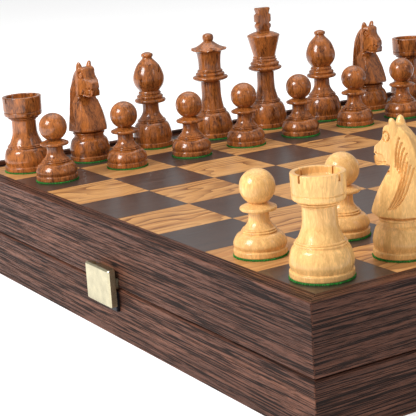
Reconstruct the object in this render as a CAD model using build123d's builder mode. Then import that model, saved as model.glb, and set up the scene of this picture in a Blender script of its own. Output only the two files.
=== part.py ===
"""Chess box: a base, a hinged lid that carries the board, a magnetic latch, and the 32 men that stand on it.

Millimetres, +Z up. The origin is the middle of the underside. The latch is on the front wall at -Y and the
hinges are on the back wall at +Y. Rank 1 lies along the +X wall and rank 8 along the -X wall, so the files run
from a, at the front, to h, at the back.
"""

import os
from math import asin, cos, radians, sin, sqrt

from build123d import *

# ---- driving dimensions -------------------------------------------------------------------------------------
square = 46.0  # side of one board square
border = 9.0  # width of the dark border round the squares
base_height = 29.6
lid_height = 35.5
seam = 0.4  # gap between the base and the closed lid
wall = 10.0  # thickness of the wall boards
veneer = 1.2  # thickness of the squares and the border strips
joint_line = 0.1  # hairline between neighbouring squares

width = 8 * square + 2 * border
lid_bottom = base_height + seam
board_top = lid_bottom + lid_height
veneer_bottom = board_top - veneer
inner = width - 2 * wall  # clear width inside the walls

corner_round = 0.8  # upright corners of the walls
seam_round = 1.5  # outer edges beside the seam
border_round = 0.5  # outer top edge of the border
foot_round = 0.6  # outer bottom edge of the base

# panels and lining
rabbet = 4.0  # depth of the steps that hold the panels, into the wall
bottom_panel = 4.0
lid_panel = 5.0
felt = 1.0

# dividers
divider = 6.0  # thickness
divider_top = base_height - 3.0
divider_bottom = bottom_panel + felt
cross_places = (-inner / 6, inner / 6)

# lip along the far edge of the board
lip_height = 3.0
lip_width = 5.0

# hinges on the back wall
hinge_places = (-120.0, 120.0)
leaf_length = 42.0
leaf_drop = 15.0  # from the pin's axis to the leaf's far edge
leaf = 1.2  # thickness
knuckle_radius = 2.8
knuckle_gap = 0.2  # between neighbouring knuckles, and from the knuckles to the wall
pin_radius = 1.1
pin_fit = 0.03
hinge_y = width / 2 + knuckle_gap + knuckle_radius
hinge_z = base_height + seam / 2
lid_open_angle = 100.0  # where the stop lug meets the base leaf
stop_gap = 0.15
stop_depth = 1.1  # thickness of the stop lug
stop_reach = 1.9  # how far the lug stands out of the knuckle
screw_radius = 1.3
screw_head_radius = 2.5
screw_length = 8.0
screw_head = 0.9
leaf_screw_places = (-15.0, 0.0, 15.0)
leaf_screw_drop = 9.8

# latch in the middle of the front wall
latch_width = 28.0
latch_height = 21.5
latch_top_drop = 24.0  # from the board to the flap's top edge
latch_top = board_top - latch_top_drop
latch_plate = 4.2  # thickness of the flap
latch_standoff = 2.4  # from the wall to the back of the flap
latch_bevel = 0.9
latch_corner = 1.3
latch_pin_drop = 2.5  # from the flap's top edge to the pin
latch_pin_standoff = 3.7
latch_pin_radius = 0.8
latch_pin_fit = 0.05
latch_knuckle_radius = 1.7
tongue_width = 15.0  # the bracket's knuckle, between the flap's two cheeks
tongue_gap = 0.3
bracket_width = 24.0
bracket_drop = 9.0
bracket_rise = 1.4
bracket_shoulder = 3.5  # below the pin: above this the bracket is no wider than its tongue
bracket = 1.2
magnet_size = (16.0, 7.0)
magnet_depth = 2.0
magnet_rise = 2.0  # from the flap's bottom edge to the magnet
strike_size = (bracket_width, 11.0)
strike = 2.1  # thickness
strike_drop = 3.2  # how far the strike plate shows under the flap

# the men: height and foot radius, of one board square each
king_size = (1.88, 0.305)
queen_size = (1.60, 0.303)
bishop_size = (1.43, 0.298)
knight_size = (1.45, 0.298)
rook_size = (1.07, 0.328)
pawn_size = (0.93, 0.288)
man_felt = 0.9
foot_rim = 3.0
rim_round = 0.35
groove = 0.5

os.makedirs("parts", exist_ok=True)


def save(solid, name):
    """Labels a finished piece and writes it."""
    solid.label = name
    export_step(solid, f"parts/{name}.step")


def group(name, solids):
    """Writes several separate solids as one named piece."""
    save(Compound(label=name, children=list(solids)), name)


# ---- walls --------------------------------------------------------------------------------------------------
sides = {"front": -90, "right": 0, "back": 90, "left": 180}


def side_wedge(angle, height):
    """The quarter of the plan that belongs to one side, so that the boards meet in mitres."""
    reach = width
    with BuildPart() as wedge:
        with BuildSketch():
            with BuildLine():
                Polyline((0, 0), (reach, -reach), (reach, reach), close=True)
            make_face()
        extrude(amount=height)
    return wedge.part.rotate(Axis.Z, angle)


def base_frame():
    """All four base walls in one, with the step for the bottom panel."""
    with BuildPart() as frame:
        Box(width, width, base_height, align=(Align.CENTER, Align.CENTER, Align.MIN))
        fillet(frame.edges().filter_by(Axis.Z), corner_round)
        fillet(frame.faces().sort_by(Axis.Z)[-1].edges(), seam_round)
        fillet(frame.faces().sort_by(Axis.Z)[0].edges(), foot_round)
        Box(inner, inner, base_height, align=(Align.CENTER, Align.CENTER, Align.MIN), mode=Mode.SUBTRACT)
        Box(
            inner + 2 * rabbet,
            inner + 2 * rabbet,
            bottom_panel,
            align=(Align.CENTER, Align.CENTER, Align.MIN),
            mode=Mode.SUBTRACT,
        )
    return frame.part


def lid_frame():
    """All four lid walls in one, with the step for the lid panel."""
    tall = veneer_bottom - lid_bottom
    with BuildPart() as frame:
        with Locations((0, 0, lid_bottom)):
            Box(width, width, tall, align=(Align.CENTER, Align.CENTER, Align.MIN))
        fillet(frame.edges().filter_by(Axis.Z), corner_round)
        fillet(frame.faces().sort_by(Axis.Z)[0].edges(), seam_round)
        with Locations((0, 0, lid_bottom)):
            Box(inner, inner, tall, align=(Align.CENTER, Align.CENTER, Align.MIN), mode=Mode.SUBTRACT)
        with Locations((0, 0, veneer_bottom)):
            Box(
                inner + 2 * rabbet,
                inner + 2 * rabbet,
                lid_panel,
                align=(Align.CENTER, Align.CENTER, Align.MAX),
                mode=Mode.SUBTRACT,
            )
    return frame.part


def leaf_screw_spots(upward):
    """Where the hinge screws meet the back wall: upward is 1 for the lid leaves and -1 for the base leaves."""
    z = hinge_z + upward * leaf_screw_drop
    return [(hinge + place, width / 2 + leaf, z) for hinge in hinge_places for place in leaf_screw_places]


def bracket_screw_spots():
    """Where the latch bracket's two screws meet the front wall."""
    z = latch_top - latch_pin_drop - bracket_drop + 2.6
    return [(x, -width / 2 - bracket, z) for x in (-bracket_width / 3, bracket_width / 3)]


def screw_plane(spot, outward):
    """A plane on a screw's head face whose normal points out of the wall: outward is 1 at the back wall."""
    return Plane(origin=spot, x_dir=(1, 0, 0), z_dir=(0, outward, 0))


def screw_holes(spots, outward, depth):
    """Round holes for the screws, cut into whatever part is open."""
    with Locations(*[screw_plane(spot, outward) for spot in spots]):
        Hole(screw_radius, depth)


for side, angle in sides.items():
    with BuildPart() as base_wall:
        add(base_frame())
        add(side_wedge(angle, board_top), mode=Mode.INTERSECT)
        if side == "back":
            screw_holes(leaf_screw_spots(-1), 1, screw_length)
    save(base_wall.part, f"base_{side}_wall")

    with BuildPart() as lid_wall:
        add(lid_frame())
        add(side_wedge(angle, board_top), mode=Mode.INTERSECT)
        if side == "back":
            screw_holes(leaf_screw_spots(1), 1, screw_length)
        if side == "front":
            screw_holes(bracket_screw_spots(), -1, screw_length)
    save(lid_wall.part, f"lid_{side}_wall")

# ---- inside the base ----------------------------------------------------------------------------------------
with BuildPart() as base_bottom_panel:
    with BuildSketch():
        Rectangle(inner + 2 * rabbet, inner + 2 * rabbet)
    extrude(amount=bottom_panel)
save(base_bottom_panel.part, "base_bottom_panel")

with BuildPart() as base_felt_lining:
    with BuildSketch(Plane.XY.offset(bottom_panel)):
        Rectangle(inner, inner)
    extrude(amount=felt)
save(base_felt_lining.part, "base_felt_lining")

divider_height = divider_top - divider_bottom
lap_height = divider_bottom + divider_height / 2

with BuildPart() as long_divider:
    with BuildSketch(Plane.XY.offset(divider_bottom)):
        Rectangle(inner, divider)
    extrude(amount=divider_height)
    with BuildSketch(Plane.XY.offset(lap_height)):
        with Locations(*[(x, 0) for x in cross_places]):
            Rectangle(divider, divider)
    extrude(amount=divider_height, mode=Mode.SUBTRACT)
save(long_divider.part, "long_divider")

with BuildPart() as cross_dividers:
    with BuildSketch(Plane.XY.offset(divider_bottom)):
        with Locations(*[(x, 0) for x in cross_places]):
            Rectangle(divider, inner)
    extrude(amount=divider_height)
    with BuildSketch(Plane.XY.offset(divider_bottom)):
        Rectangle(inner, divider)
    extrude(amount=lap_height - divider_bottom, mode=Mode.SUBTRACT)
save(cross_dividers.part, "cross_dividers")

# ---- board --------------------------------------------------------------------------------------------------
with BuildPart() as lid_panel_board:
    with BuildSketch(Plane.XY.offset(veneer_bottom - lid_panel)):
        Rectangle(inner + 2 * rabbet, inner + 2 * rabbet)
    extrude(amount=lid_panel)
save(lid_panel_board.part, "lid_panel")


def square_centre(file, rank):
    """The middle of a square, with file and rank counted from 1."""
    x = width / 2 - border - (rank - 0.5) * square
    y = -width / 2 + border + (file - 0.5) * square
    return x, y


def squares(dark):
    """The centres of the 32 squares of one colour: a1 is dark."""
    every = [(file, rank) for file in range(1, 9) for rank in range(1, 9)]
    return [square_centre(file, rank) for file, rank in every if ((file + rank) % 2 == 0) == dark]


for colour in ("dark", "light"):
    with BuildPart() as veneers:
        with BuildSketch(Plane.XY.offset(veneer_bottom)):
            with Locations(*squares(colour == "dark")):
                Rectangle(square - joint_line, square - joint_line)
        extrude(amount=veneer)
    save(veneers.part, f"{colour}_squares")

with BuildPart() as border_ring:
    with BuildSketch(Plane.XY.offset(veneer_bottom)):
        Rectangle(width, width)
    extrude(amount=veneer)
    fillet(border_ring.edges().filter_by(Axis.Z), corner_round)
    fillet(border_ring.faces().sort_by(Axis.Z)[-1].edges(), border_round)
    with BuildSketch(Plane.XY.offset(veneer_bottom)):
        Rectangle(width - 2 * border, width - 2 * border)
    extrude(amount=veneer, mode=Mode.SUBTRACT)

strips = []
for angle in sides.values():
    with BuildPart() as strip:
        add(border_ring.part)
        add(side_wedge(angle, board_top), mode=Mode.INTERSECT)
    strips.append(strip.part.solid())
group("board_border", strips)

with BuildPart() as far_lip:
    with BuildSketch(Plane.XY.offset(board_top)):
        with Locations((-width / 2 + border_round, 0)):
            Rectangle(lip_width, width - 2 * border, align=(Align.MIN, Align.CENTER))
    extrude(amount=lip_height)
    fillet(far_lip.faces().sort_by(Axis.Z)[-1].edges().filter_by(Axis.Y), 1.0)
save(far_lip.part, "far_lip")

# ---- hinges -------------------------------------------------------------------------------------------------
knuckle_length = leaf_length / 3
knuckle_clear = knuckle_radius + 0.3  # how close the other leaf comes to a knuckle


def leaf_plate(hinge, upward):
    """One flat leaf against the back wall, with its screw holes countersunk."""
    near = hinge_z + upward * knuckle_clear
    far = hinge_z + upward * leaf_drop
    with BuildPart() as plate:
        with BuildSketch(Plane((hinge, width / 2, (near + far) / 2), x_dir=(1, 0, 0), z_dir=(0, 1, 0))):
            RectangleRounded(leaf_length, abs(far - near), 1.0)
        extrude(amount=leaf)
        for place in leaf_screw_places:
            spot = (hinge + place, width / 2 + leaf, hinge_z + upward * leaf_screw_drop)
            with Locations(Plane(origin=spot, x_dir=(1, 0, 0), z_dir=(0, 1, 0))):
                CounterSinkHole(screw_radius, screw_head_radius, leaf * 2, 90)
    return plate.part


def knuckle(start, length, upward):
    """A knuckle on the hinge axis, with the web that joins it to its leaf."""
    with BuildPart() as barrel:
        with BuildSketch(Plane(origin=(start, 0, 0), x_dir=(0, 1, 0), z_dir=(1, 0, 0))):
            with Locations((hinge_y, hinge_z)):
                Circle(knuckle_radius)
            with Locations((width / 2 + leaf / 2, hinge_z + upward * (knuckle_clear + 1) / 2)):
                Rectangle(leaf, knuckle_clear + 1)
            with Locations((hinge_y, hinge_z)):
                Circle(pin_radius + pin_fit, mode=Mode.SUBTRACT)
        extrude(amount=length)
        with BuildSketch(Plane(origin=(start, 0, 0), x_dir=(0, 1, 0), z_dir=(1, 0, 0))):
            with Locations((width / 2, hinge_z)):
                Rectangle(knuckle_gap, 2 * leaf_drop, align=(Align.MIN, Align.CENTER))
        extrude(amount=length, mode=Mode.SUBTRACT)
    return barrel.part


def stop_lug(hinge):
    """A lug on the lid's knuckle that meets the base leaf when the lid stands open."""
    leaf_face = width / 2 + leaf - hinge_y + stop_gap
    with BuildPart() as lug:
        with BuildSketch(Plane(origin=(hinge - knuckle_length / 2 + 1, 0, 0), x_dir=(0, 1, 0), z_dir=(1, 0, 0))):
            with Locations((leaf_face, -knuckle_radius + 0.6)):
                Rectangle(stop_depth, stop_reach + 0.6, align=(Align.MIN, Align.MAX))
        extrude(amount=knuckle_length - 2)
    return lug.part.rotate(Axis.X, lid_open_angle).moved(Location((0, hinge_y, hinge_z)))


base_leaves, lid_leaves, pins = [], [], []
for hinge in hinge_places:
    with BuildPart() as base_leaf:
        add(leaf_plate(hinge, -1))
        for start in (hinge - leaf_length / 2, hinge + knuckle_length / 2 + knuckle_gap):
            add(knuckle(start, knuckle_length - knuckle_gap, -1))
    base_leaves.append(base_leaf.part.solid())

    with BuildPart() as lid_leaf:
        add(leaf_plate(hinge, 1))
        add(knuckle(hinge - knuckle_length / 2, knuckle_length, 1))
        add(stop_lug(hinge))
    lid_leaves.append(lid_leaf.part.solid())

    with BuildPart() as pin:
        with BuildSketch(Plane(origin=(hinge - leaf_length / 2 - 0.6, 0, 0), x_dir=(0, 1, 0), z_dir=(1, 0, 0))):
            with Locations((hinge_y, hinge_z)):
                Circle(pin_radius)
        extrude(amount=leaf_length + 1.2)
        for end in (hinge - leaf_length / 2 - 1.0, hinge + leaf_length / 2):
            with BuildSketch(Plane(origin=(end, 0, 0), x_dir=(0, 1, 0), z_dir=(1, 0, 0))):
                with Locations((hinge_y, hinge_z)):
                    Circle(pin_radius + 0.7)
            extrude(amount=1.0)
    pins.append(pin.part.solid())

group("hinge_base_leaves", base_leaves)
group("hinge_lid_leaves", lid_leaves)
group("hinge_pins", pins)


def screws(spots, outward):
    """Countersunk screws with a cross slot, with their heads flush with the leaf."""
    made = []
    for spot in spots:
        with BuildPart() as screw:
            face = screw_plane(spot, outward)
            with BuildSketch(face.offset(-screw_head - 0.2)):
                Circle(screw_radius)
            extrude(amount=-(screw_length - screw_head - 0.6))
            with BuildSketch(face):
                Circle(screw_head_radius - 0.1)
            with BuildSketch(face.offset(-(screw_head_radius - screw_radius))):
                Circle(screw_radius)
            loft()
            with BuildSketch(face):
                Rectangle(2.6, 0.5)
                Rectangle(0.5, 2.6)
            extrude(amount=-0.6, mode=Mode.SUBTRACT)
        made.append(screw.part.solid())
    return made


group("hinge_base_screws", screws(leaf_screw_spots(-1), 1))
group("hinge_lid_screws", screws(leaf_screw_spots(1), 1))

# ---- latch --------------------------------------------------------------------------------------------------
front_face = -width / 2
latch_pin_y = front_face - latch_pin_standoff
latch_pin_z = latch_top - latch_pin_drop
latch_bottom = latch_top - latch_height
flap_back = front_face - latch_standoff


def across(x):
    """The plane across the latch at x, with its own x along +Y and its y along +Z."""
    return Plane(origin=(x, 0, 0), x_dir=(0, 1, 0), z_dir=(1, 0, 0))


with BuildPart() as latch_bracket:
    with BuildSketch(Plane(origin=(0, front_face, 0), x_dir=(1, 0, 0), z_dir=(0, -1, 0))):
        with Locations((0, latch_pin_z + bracket_rise)):
            Rectangle(tongue_width, bracket_drop + bracket_rise, align=(Align.CENTER, Align.MAX))
        with Locations((0, latch_pin_z - bracket_shoulder)):
            Rectangle(bracket_width, bracket_drop - bracket_shoulder, align=(Align.CENTER, Align.MAX))
    extrude(amount=bracket)
    with BuildSketch(across(-tongue_width / 2)):
        with Locations((latch_pin_y, latch_pin_z)):
            Circle(latch_knuckle_radius)
        with Locations((front_face, latch_pin_z + latch_knuckle_radius)):
            Rectangle(latch_pin_standoff, 1.3, align=(Align.MAX, Align.MAX))
    extrude(amount=tongue_width)
    with BuildSketch(across(-tongue_width)):
        with Locations((latch_pin_y, latch_pin_z)):
            Circle(latch_pin_radius + latch_pin_fit)
    extrude(amount=2 * tongue_width, mode=Mode.SUBTRACT)
    for spot in bracket_screw_spots():
        with Locations(screw_plane(spot, -1)):
            CounterSinkHole(screw_radius, screw_head_radius, bracket * 2, 90)
save(latch_bracket.part, "latch_bracket")
group("latch_bracket_screws", screws(bracket_screw_spots(), -1))

with BuildPart() as latch_pin:
    with BuildSketch(across(-latch_width / 2 + 1.2)):
        with Locations((latch_pin_y, latch_pin_z)):
            Circle(latch_pin_radius)
    extrude(amount=latch_width - 2.4)
save(latch_pin.part, "latch_pin")

with BuildPart() as latch_flap:
    with BuildSketch(Plane(origin=(0, flap_back, 0), x_dir=(1, 0, 0), z_dir=(0, -1, 0))):
        with Locations((0, latch_bottom)):
            RectangleRounded(latch_width, latch_height, latch_corner, align=(Align.CENTER, Align.MIN))
    extrude(amount=latch_plate)
    chamfer(latch_flap.faces().sort_by(Axis.Y)[0].edges(), latch_bevel)
    with BuildSketch(Plane(origin=(0, flap_back, 0), x_dir=(1, 0, 0), z_dir=(0, -1, 0))):
        with Locations((0, latch_top)):
            Rectangle(
                tongue_width + 2 * tongue_gap,
                latch_pin_drop + latch_knuckle_radius + 1.0,
                align=(Align.CENTER, Align.MAX),
            )
    extrude(amount=latch_plate - 1.0, mode=Mode.SUBTRACT)
    with BuildSketch(Plane(origin=(0, flap_back, 0), x_dir=(1, 0, 0), z_dir=(0, -1, 0))):
        with Locations((0, latch_bottom + magnet_rise)):
            Rectangle(*magnet_size, align=(Align.CENTER, Align.MIN))
    extrude(amount=magnet_depth, mode=Mode.SUBTRACT)
    with BuildSketch(across(-latch_width / 2 + 1.2)):
        with Locations((latch_pin_y, latch_pin_z)):
            Circle(latch_pin_radius)
    extrude(amount=latch_width - 2.4, mode=Mode.SUBTRACT)
save(latch_flap.part, "latch_flap")

with BuildPart() as latch_magnet:
    with BuildSketch(Plane(origin=(0, flap_back, 0), x_dir=(1, 0, 0), z_dir=(0, -1, 0))):
        with Locations((0, latch_bottom + magnet_rise)):
            Rectangle(*magnet_size, align=(Align.CENTER, Align.MIN))
    extrude(amount=magnet_depth)
save(latch_magnet.part, "latch_magnet")

with BuildPart() as latch_strike_plate:
    with BuildSketch(Plane(origin=(0, front_face, 0), x_dir=(1, 0, 0), z_dir=(0, -1, 0))):
        with Locations((0, latch_bottom - strike_drop)):
            Rectangle(*strike_size, align=(Align.CENTER, Align.MIN))
    extrude(amount=strike)
    chamfer(latch_strike_plate.faces().sort_by(Axis.Y)[0].edges(), 0.4)
save(latch_strike_plate.part, "latch_strike_plate")


# ---- the men's turned profiles ------------------------------------------------------------------------------
# Each step below draws on from point at, an (r, z) pair, and gives back where it ended.
def foot(radius):
    """The rim on top of the felt, up to the groove over it."""
    low, high = man_felt, man_felt + foot_rim
    Polyline((0, low), (radius - rim_round, low), (radius, low + rim_round), (radius, high - rim_round))
    Polyline((radius, high - rim_round), (radius - rim_round, high), (radius - groove - 0.4, high + 0.1))
    return radius - groove - 0.4, high + 0.1


def bulb(at, radius, neck):
    """The full round body over the foot, drawn in to the point neck."""
    rise = neck[1] - at[1]
    fullest = (radius - 0.1, at[1] + 0.33 * rise)
    shoulder = (radius - 0.42 * (radius - neck[0]), at[1] + 0.80 * rise)
    Spline(at, fullest, shoulder, neck)
    return neck


def bead(at, out, thick):
    """A half-round bead that stands out of the wood by out."""
    end = (at[0], at[1] + thick)
    ThreePointArc(at, (at[0] + out, at[1] + thick / 2), end)
    return end


def cove(at, end, hollow=0.35):
    """A stem that sweeps in from at and up to end, the more hollow the larger the value."""
    middle = (end[0] + (at[0] - end[0]) * (0.5 - hollow), at[1] + (end[1] - at[1]) * (0.5 - hollow / 4))
    Spline(at, middle, end)
    return end


def run(at, *points):
    """Straight cuts through the points."""
    Polyline(at, *points)
    return points[-1]


def ball(at, radius, top):
    """A ball on the axis, from the height of at up to its pole."""
    centre = top - radius
    start = (sqrt(radius**2 - (centre - at[1]) ** 2), at[1])
    low, high = asin((at[1] - centre) / radius) / 2, radians(45)  # half way to the equator, then to the pole
    Line(at, start)
    ThreePointArc(start, (radius * cos(low), centre + radius * sin(low)), (radius, centre))
    ThreePointArc((radius, centre), (radius * cos(high), centre + radius * sin(high)), (0, top))
    return 0, top


def dome(at, top):
    """A shallow dome on the axis, from at up to its pole."""
    rise = top - at[1]
    sphere = (at[0] ** 2 + rise**2) / (2 * rise)
    half = at[0] / 2
    ThreePointArc(at, (half, top - sphere + sqrt(sphere**2 - half**2)), (0, top))
    return 0, top


def close_profile(at, bottom=man_felt):
    """Back down the axis to the start."""
    if at[0] > 0:
        Line(at, (0, at[1]))
    Line((0, at[1]), (0, bottom))


def lower_body(radius, ring, neck):
    """Foot, bulb, double ring and stem of any man: ring and neck are (r, z) points."""
    at = foot(radius)
    at = bulb(at, radius, (ring[0] - 0.5, ring[1] - 0.9))
    at = bead(at, 0.45, 0.9)
    at = run(at, (ring[0] - 1.0, ring[1] + 0.1))
    at = bead(at, 0.4, 0.8)
    at = run(at, (at[0] - 0.5, at[1] + 0.1))
    return cove(at, neck)


def felt_disc(radius):
    """The green felt under a man."""
    with BuildPart() as disc:
        Cylinder(radius - 0.5, man_felt, align=(Align.CENTER, Align.CENTER, Align.MIN))
    return disc.part


def sizes(size):
    """Height, foot radius and one hundredth of the height."""
    return size[0] * square, size[1] * square, size[0] * square / 100


def make_pawn():
    height, radius, h = sizes(pawn_size)
    with BuildPart() as man:
        with BuildSketch(Plane.XZ):
            with BuildLine():
                at = lower_body(radius, (21 * h, 30 * h), (11.8 * h, 50.5 * h))
                at = run(at, (15.5 * h, 51.8 * h), (20.0 * h, 52.6 * h))
                at = bead(at, 1.3 * h, 4.2 * h)
                at = run(at, (15.0 * h, 59.0 * h), (10.2 * h, 60.9 * h))
                at = ball(at, 20.7 * h, height)
                close_profile(at)
            make_face()
        revolve(axis=Axis.Z)
    return [man.part]


def make_rook():
    height, radius, h = sizes(rook_size)
    slot_width, slot_depth = 2.4 * h, 7.0 * h
    with BuildPart() as man:
        with BuildSketch(Plane.XZ):
            with BuildLine():
                at = lower_body(radius, (25 * h, 34 * h), (16.2 * h, 68 * h))
                at = bead(at, 1.0 * h, 1.6 * h)
                at = run(at, (19.2 * h, 70.4 * h))
                at = bead(at, 1.2 * h, 2.2 * h)
                at = run(at, (24.0 * h, 74.0 * h), (25.0 * h, 75.4 * h), (25.3 * h, 79.2 * h))
                at = run(at, (24.5 * h, 79.6 * h), (24.5 * h, 80.4 * h), (25.4 * h, 80.8 * h))
                at = run(at, (25.8 * h, 99.4 * h), (25.2 * h, 100 * h))
                close_profile(at)
            make_face()
        revolve(axis=Axis.Z)
        with BuildSketch(Plane.XY.offset(height)):
            Circle(21.0 * h)
        extrude(amount=-7.5 * h, taper=4, mode=Mode.SUBTRACT)
        with BuildSketch(Plane.XY.offset(height)):
            with PolarLocations(24.0 * h, 4, start_angle=12):
                Rectangle(10 * h, slot_width)
        extrude(amount=-slot_depth, mode=Mode.SUBTRACT)
    return [man.part]


def make_bishop():
    height, radius, h = sizes(bishop_size)
    with BuildPart() as man:
        with BuildSketch(Plane.XZ):
            with BuildLine():
                at = lower_body(radius, (15.3 * h, 28.5 * h), (8.6 * h, 46.0 * h))
                at = run(at, (12.4 * h, 46.8 * h), (15.0 * h, 47.6 * h))
                at = bead(at, 1.4 * h, 3.6 * h)
                at = run(at, (13.0 * h, 52.0 * h))
                at = bead(at, 1.0 * h, 3.0 * h)
                at = run(at, (11.2 * h, 56.4 * h))
                at = bead(at, 0.8 * h, 2.0 * h)
                at = run(at, (10.6 * h, 59.6 * h))
                Spline(at, (15.2 * h, 66.5 * h), (16.2 * h, 74.5 * h), (12.2 * h, 85.5 * h), (5.4 * h, 93.2 * h))
                at = (5.4 * h, 93.2 * h)
                at = run(at, (5.0 * h, 94.6 * h))
                at = bead(at, 1.3 * h, 4.0 * h)
                at = dome(at, height)
                close_profile(at)
            make_face()
        revolve(axis=Axis.Z)
        slit = Plane(origin=(0, 0, 80 * h), x_dir=(0, 1, 0), z_dir=(1, 0, 0))
        with BuildSketch(slit):
            with Locations(Location((9.0 * h, 6.0 * h), 52)):
                Rectangle(16 * h, 1.6 * h)
        extrude(amount=20 * h, both=True, mode=Mode.SUBTRACT)
    return [man.part]


def make_queen():
    height, radius, h = sizes(queen_size)
    rim = 17.2 * h
    with BuildPart() as man:
        with BuildSketch(Plane.XZ):
            with BuildLine():
                at = lower_body(radius, (13.6 * h, 26.5 * h), (9.4 * h, 54.0 * h))
                at = run(at, (13.4 * h, 55.2 * h), (15.6 * h, 56.4 * h))
                at = bead(at, 1.4 * h, 3.0 * h)
                at = run(at, (13.2 * h, 60.4 * h))
                at = bead(at, 0.8 * h, 2.2 * h)
                at = run(at, (11.6 * h, 63.6 * h))
                at = bead(at, 0.7 * h, 1.6 * h)
                at = run(at, (10.8 * h, 65.8 * h))
                Spline(at, (10.7 * h, 72.0 * h), (11.4 * h, 79.0 * h), (12.6 * h, 83.4 * h))
                at = run((12.6 * h, 83.4 * h), (15.8 * h, 83.8 * h), (rim, 84.8 * h), (rim, 85.9 * h))
                Spline(at, (12.6 * h, 87.2 * h), (8.6 * h, 89.4 * h), (4.2 * h, 92.6 * h))
                at = bead((4.2 * h, 92.6 * h), 1.1 * h, 6.2 * h)
                at = dome(at, height)
                close_profile(at)
            make_face()
        revolve(axis=Axis.Z)
        for step in range(9):
            turn = 40 * step
            notch = Plane(origin=(0, 0, 87.6 * h), z_dir=(cos(radians(turn)), sin(radians(turn)), 0))
            with BuildSketch(notch.offset(13.6 * h)):
                Circle(2.2 * h)
            extrude(amount=8 * h, mode=Mode.SUBTRACT)
    return [man.part]


def make_king():
    height, radius, h = sizes(king_size)
    shoulder = 81.0 * h
    cross_depth = 6.4 * h
    with BuildPart() as man:
        with BuildSketch(Plane.XZ):
            with BuildLine():
                at = lower_body(radius, (11.6 * h, 23.0 * h), (7.2 * h, 47.0 * h))
                at = run(at, (11.0 * h, 48.0 * h), (12.8 * h, 49.0 * h))
                at = bead(at, 1.2 * h, 2.6 * h)
                at = run(at, (11.4 * h, 52.4 * h))
                at = bead(at, 0.8 * h, 2.6 * h)
                at = run(at, (9.8 * h, 56.2 * h))
                at = bead(at, 0.6 * h, 1.4 * h)
                at = run(at, (9.2 * h, 58.4 * h))
                at = bead(at, 0.6 * h, 1.4 * h)
                at = run(at, (9.2 * h, 60.4 * h), (13.6 * h, 77.0 * h), (13.2 * h, 77.6 * h))
                at = dome(at, shoulder)
                close_profile(at)
            make_face()
        revolve(axis=Axis.Z)
        with BuildSketch(Plane.YZ.offset(-cross_depth / 2)):
            with BuildLine():
                Polyline(
                    (4.8 * h, 78.0 * h),
                    (4.8 * h, 82.0 * h),
                    (6.3 * h, 84.2 * h),
                    (6.3 * h, 85.8 * h),
                    (4.5 * h, 87.5 * h),
                    (6.5 * h, 88.7 * h),
                    (6.5 * h, 94.0 * h),
                    (4.6 * h, 95.4 * h),
                    (5.9 * h, 99.2 * h),
                    (0, 100 * h),
                    (0, 78.0 * h),
                    close=True,
                )
            make_face()
            mirror(about=Plane.YZ)
        extrude(amount=cross_depth)
    return [man.part]


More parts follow.
